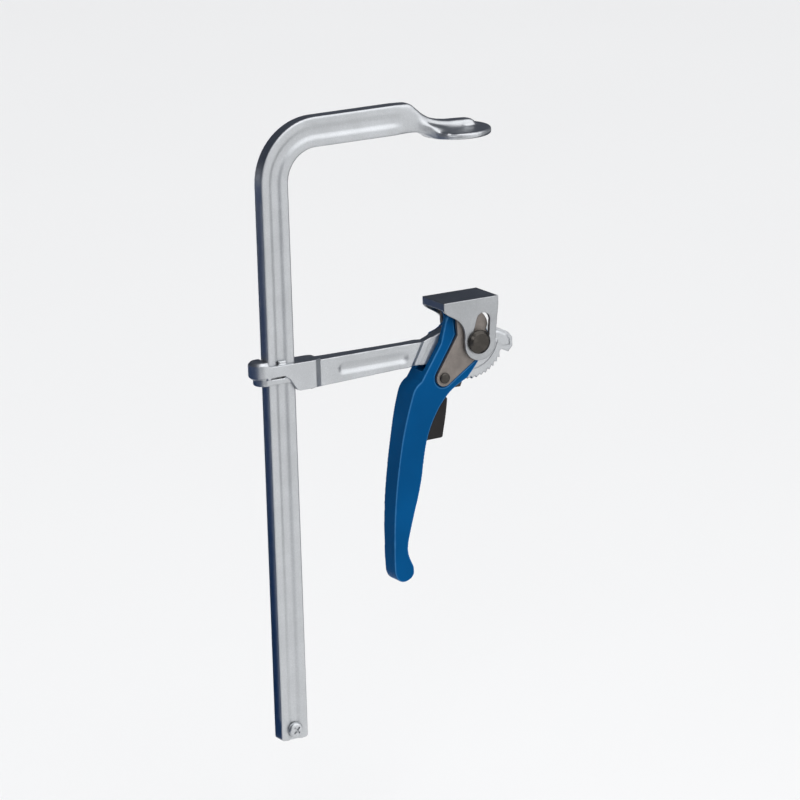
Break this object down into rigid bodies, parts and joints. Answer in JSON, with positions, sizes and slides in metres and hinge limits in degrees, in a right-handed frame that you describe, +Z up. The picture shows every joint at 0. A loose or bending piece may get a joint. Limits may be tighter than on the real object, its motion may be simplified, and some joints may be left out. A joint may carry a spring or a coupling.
{
  "type": "quick release bar clamp",
  "caption": "Lever bar clamp: a sliding arm on a grooved flat rail, with a ratchet lever, cam plates and a pressure shoe facing a round fixed pad.",
  "frame": {"origin": "centre of the fixed jaw's flat round pressure face", "axes": "+Z up, from the sliding shoe to the fixed pad and along the rail; +X away from the rail; +Y through the rail's thickness, away from the viewer"},
  "size_m": [0.1854, 0.044, 0.3908],
  "materials": {
    "zinc_steel": "bright zinc plated",
    "blue_paint": "powder coat, semi gloss",
    "cam_steel": "blasted grey-brown steel",
    "dark_steel": "blackened",
    "black_cover": "satin moulded",
    "spring_steel": "drawn wire"
  },
  "bodies": {
    "rail": {"rail": "zinc_steel", "stop_screw": "zinc_steel"},
    "slider": {"sliding_arm": "zinc_steel"},
    "lever": {"lever": "blue_paint", "cam_plate_front": "cam_steel", "cam_plate_rear": "cam_steel", "pivot_pin": "dark_steel", "lock_rivet": "dark_steel"},
    "trigger": {"pawl": "dark_steel", "pawl_rivet": "dark_steel", "trigger": "black_cover", "pawl_spring": "spring_steel"},
    "shoe": {"shoe": "zinc_steel"}
  },
  "joints": [
    {"name": "arm_slide", "type": "slide", "parent": "rail", "child": "slider", "axis": [0, 0, 1], "range_m": [-0.217, 0.1]},
    {"name": "lever_pivot", "type": "hinge", "parent": "slider", "child": "lever", "pos_m": [0.0045, 0, -0.1305], "axis": [0, -1, 0], "range_deg": [0, 75]},
    {"name": "shoe_lift", "type": "slide", "parent": "slider", "child": "shoe", "axis": [-0.2853, 0, -0.9584], "range_m": [0, 0.0123]},
    {"name": "trigger_pivot", "type": "hinge", "parent": "lever", "child": "trigger", "pos_m": [-0.0191, 0, -0.1509], "axis": [0, 1, 0], "range_deg": [-7, 5], "stiffness_Nm_per_rad": 0.05, "springref_deg": -22.92}
  ],
  "couplings": [
    {"joint": "shoe_lift", "follows": "lever_pivot", "m_per_rad": 0.0092862}
  ]
}
